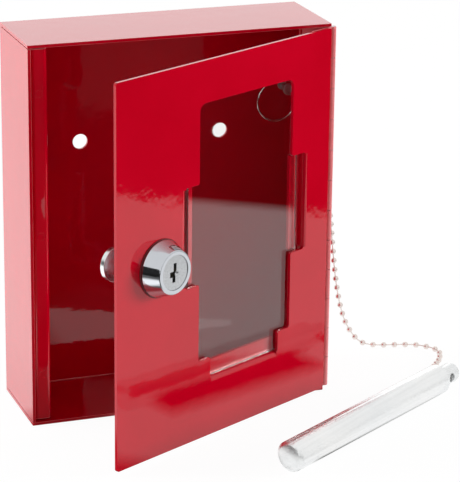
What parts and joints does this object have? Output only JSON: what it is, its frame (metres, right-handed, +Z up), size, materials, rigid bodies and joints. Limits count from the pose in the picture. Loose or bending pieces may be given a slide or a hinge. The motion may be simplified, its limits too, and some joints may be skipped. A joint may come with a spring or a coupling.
{
  "type": "break glass key box",
  "caption": "Small wall box of folded sheet steel with a glazed piano-hinged door, a cam lock, a key stud with a ring, and a breaker rod on a ball chain.",
  "frame": {"origin": "centre of the case's flat base, on the surface that the box stands on", "axes": "+Z up, +Y towards the wall behind the case, +X to the hinge side seen from the front"},
  "size_m": [0.1819, 0.1177, 0.15],
  "materials": {
    "red_paint": "glossy red powder coat",
    "hinge_steel": "drawn steel wire",
    "pane_glass": "clear float glass",
    "lock_chrome": "polished chrome plate",
    "black_washer": "black plastic",
    "zinc_plate": "bright zinc plate",
    "wafer_brass": "stamped brass",
    "ring_nickel": "nickel-plated spring wire",
    "rod_zinc": "bright zinc plate over drawn bar",
    "chain_nickel": "nickel-plated beads"
  },
  "bodies": {
    "root": {"housing_shell": "red_paint", "stop_channel_left": "red_paint", "hinge_channel_right": "red_paint", "hinge_leaf_box": "red_paint", "hinge_pin": "hinge_steel", "key_stud": "red_paint", "chain_anchor_rivet": "zinc_plate", "chain_anchor_coupling": "chain_nickel", "bead_chain": "chain_nickel", "chain_rod_coupling": "chain_nickel", "breaker_rod": "rod_zinc"},
    "door": {"door_panel": "red_paint", "hinge_leaf_door": "red_paint", "lock_body": "lock_chrome", "lock_washer": "black_washer", "lock_nut": "zinc_plate"},
    "pane": {"glass_pane": "pane_glass"},
    "lock": {"lock_plug": "lock_chrome", "lock_wafers": "wafer_brass", "cam_stop_washer": "zinc_plate", "lock_cam": "zinc_plate", "cam_washer": "zinc_plate", "cam_screw": "zinc_plate"},
    "ring": {"key_ring": "ring_nickel"}
  },
  "joints": [
    {"name": "door_hinge", "type": "hinge", "parent": "root", "child": "door", "pos_m": [0.0611, -0.01865, 0.075], "axis": [0, 0, 1], "range_deg": [-28, 24]},
    {"name": "pane_slide", "type": "slide", "parent": "door", "child": "pane", "axis": [0, 0, 1], "range_m": [0, 0.012]},
    {"name": "lock_turn", "type": "hinge", "parent": "door", "child": "lock", "pos_m": [-0.02341, -0.06568, 0.075], "axis": [-0.4695, 0.8829, 0], "range_deg": [0, 90]},
    {"name": "ring_swing", "type": "hinge", "parent": "root", "child": "ring", "pos_m": [0.0546, 0.0135, 0.1166], "axis": [0, 1, 0], "range_deg": [0, 97]}
  ]
}
